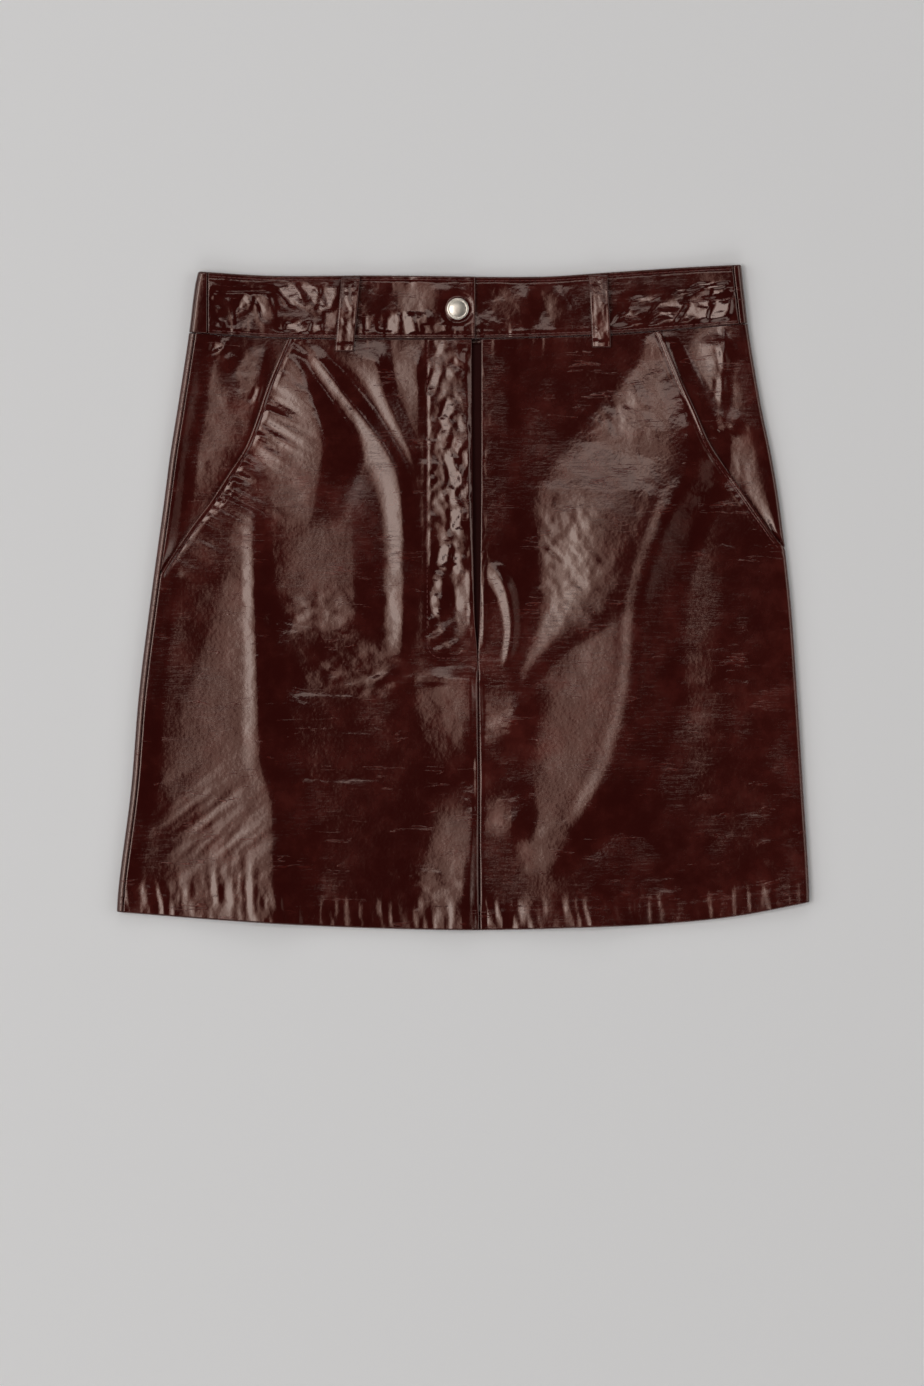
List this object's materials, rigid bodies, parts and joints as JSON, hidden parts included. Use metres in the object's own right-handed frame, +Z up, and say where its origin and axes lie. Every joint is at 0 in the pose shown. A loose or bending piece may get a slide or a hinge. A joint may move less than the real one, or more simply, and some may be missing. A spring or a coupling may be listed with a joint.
{
  "type": "leather skirt",
  "caption": "Short A-line skirt in glossy leather, laid flat: waistband closed by a snap, belt loops, slash pockets and a front fly over a centre seam.",
  "frame": {"origin": "middle of the laid skirt's outline, on the surface that it lies on", "axes": "+X along the waist to the viewer's right, +Y from hem to waistband, +Z up out of the skirt's front"},
  "size_m": [0.4734, 0.4548, 0.0109],
  "materials": {
    "leather": "glossy, crinkled patent",
    "zip": "woven tape",
    "snap_metal": "polished pale gold"
  },
  "bodies": {
    "root": {"back_panel": "leather", "front_left_panel": "leather", "front_right_panel": "leather", "pocket_facing_left": "leather", "pocket_facing_right": "leather", "fly_shield": "leather", "fly_zip": "zip", "waistband_front_left": "leather", "waistband_front_right": "leather", "waistband_back": "leather", "belt_loop_left": "leather", "belt_loop_right": "leather", "snap_button": "snap_metal"}
  },
  "joints": []
}
